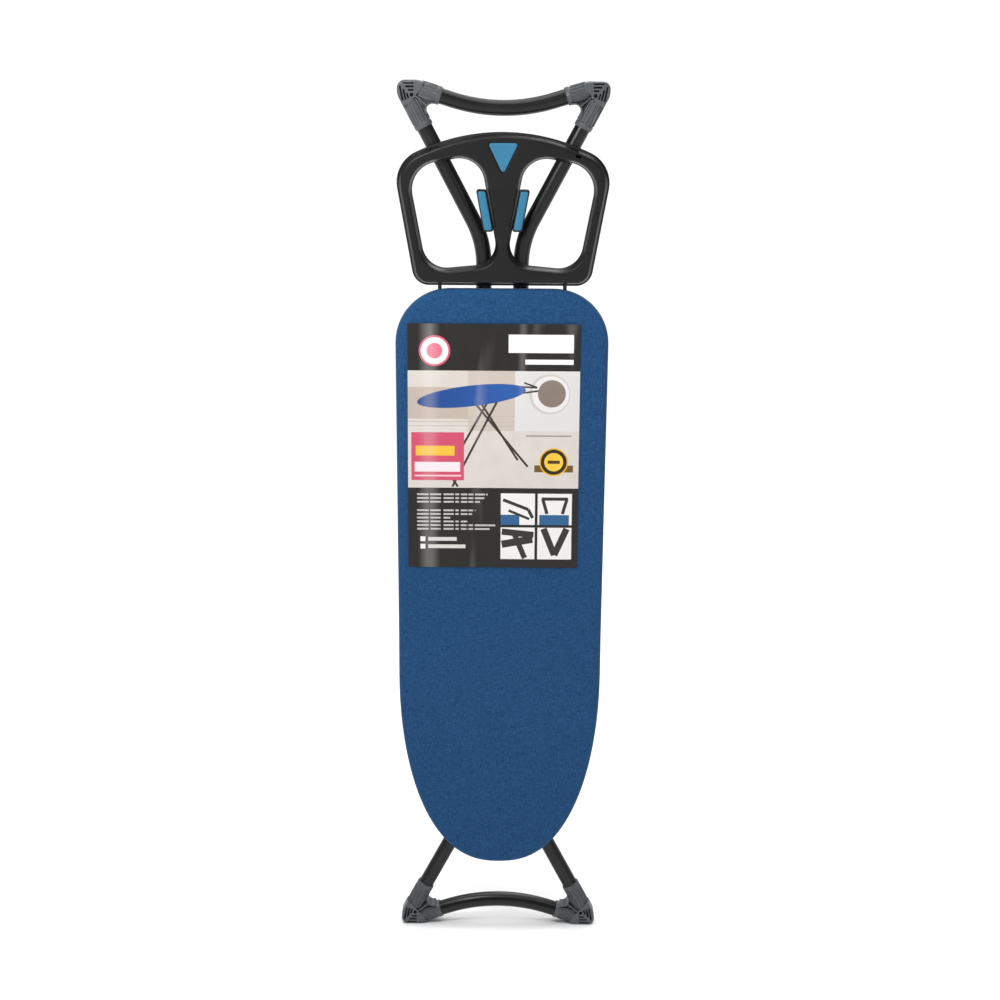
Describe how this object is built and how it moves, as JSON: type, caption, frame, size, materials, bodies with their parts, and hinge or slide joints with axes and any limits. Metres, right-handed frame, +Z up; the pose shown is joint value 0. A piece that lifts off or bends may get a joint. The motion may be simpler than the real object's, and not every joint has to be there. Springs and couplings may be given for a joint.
{
  "type": "ironing board",
  "caption": "Ironing board folded flat: padded cloth top on a steel frame, two tube leg frames on a scissor pivot, and a moulded iron rest at the wide end.",
  "frame": {"origin": "centre of the bounding box on the floor, midway between the two soles of the nose foot", "axes": "+Z up, from the nose foot to the rear foot; +X across the board, to the right of a person who faces the ironing surface; the ironing surface faces -Y and the legs fold out toward +Y. The board leans back by 1.2 degrees."},
  "size_m": [0.38, 0.0854, 1.5996],
  "materials": {
    "black_paint": "gloss black powder coat on steel tube and sheet",
    "grey_plastic": "matt mid grey moulded plastic",
    "black_plastic": "satin charcoal moulded plastic",
    "blue_plastic": "matt blue moulded plastic",
    "blue_cloth": "blue cotton weave with paler cross threads",
    "felt": "needle felt",
    "printed_card": "printed card under clear film",
    "bare_steel": "zinc plated steel"
  },
  "bodies": {
    "board": {"rim_frame": "black_paint", "mesh_panel": "black_paint", "nose_cross_bar": "black_paint", "lower_cross_bar": "black_paint", "middle_cross_bar": "black_paint", "upper_cross_bar": "black_paint", "rear_cross_bar": "black_paint", "felt_pad": "felt", "cover": "blue_cloth", "label_card": "printed_card", "height_rack": "black_paint", "pivot_bracket_left": "black_paint", "pivot_bracket_right": "black_paint", "pivot_bolt_left": "bare_steel", "pivot_bolt_right": "bare_steel", "lever_bracket_left": "black_paint", "lever_bracket_right": "black_paint", "lever_spring": "bare_steel", "rest_wire": "black_paint", "iron_rest": "black_plastic", "rest_clamp_left": "black_plastic", "rest_clamp_right": "black_plastic", "triangle_insert": "blue_plastic", "side_pad_left": "blue_plastic", "side_pad_right": "blue_plastic"},
    "release_lever": {"lever_rod": "black_paint", "latch_comb": "bare_steel", "lever_grip": "black_plastic"},
    "outer_leg": {"outer_tube_left": "black_paint", "outer_tube_right": "black_paint", "nose_foot_bar": "black_paint", "nose_corner_left": "grey_plastic", "nose_corner_right": "grey_plastic", "outer_cap_left": "black_plastic", "outer_cap_right": "black_plastic", "outer_brace": "black_paint", "scissor_bolt_left": "bare_steel", "scissor_bolt_right": "bare_steel", "scissor_nut_left": "bare_steel", "scissor_nut_right": "bare_steel", "scissor_spacer_left": "black_plastic", "scissor_spacer_right": "black_plastic"},
    "inner_leg": {"inner_tube_left": "black_paint", "inner_tube_right": "black_paint", "rear_foot_bar": "black_paint", "rear_corner_left": "grey_plastic", "rear_corner_right": "grey_plastic", "inner_cap_left": "black_plastic", "inner_cap_right": "black_plastic", "inner_brace": "black_paint", "sliding_rod": "bare_steel", "rack_roller_left": "black_plastic", "rack_roller_right": "black_plastic"}
  },
  "joints": [
    {"name": "outer_leg_fold", "type": "hinge", "parent": "board", "child": "outer_leg", "pos_m": [0, 0.01534, 1.06942], "axis": [1, 0, 0], "range_deg": [0, 54]},
    {"name": "inner_leg_fold", "type": "hinge", "parent": "outer_leg", "child": "inner_leg", "pos_m": [0, 0.00967, 0.79848], "axis": [1, 0, 0], "range_deg": [-108, 0]},
    {"name": "release_lever_squeeze", "type": "hinge", "parent": "board", "child": "release_lever", "pos_m": [0, -0.00742, 0.78983], "axis": [1, 0, 0], "range_deg": [0, 9], "stiffness_Nm_per_rad": 0.5, "springref_deg": -5.73}
  ],
  "couplings": [
    {"joint": "inner_leg_fold", "follows": "outer_leg_fold", "ratio": -2}
  ]
}
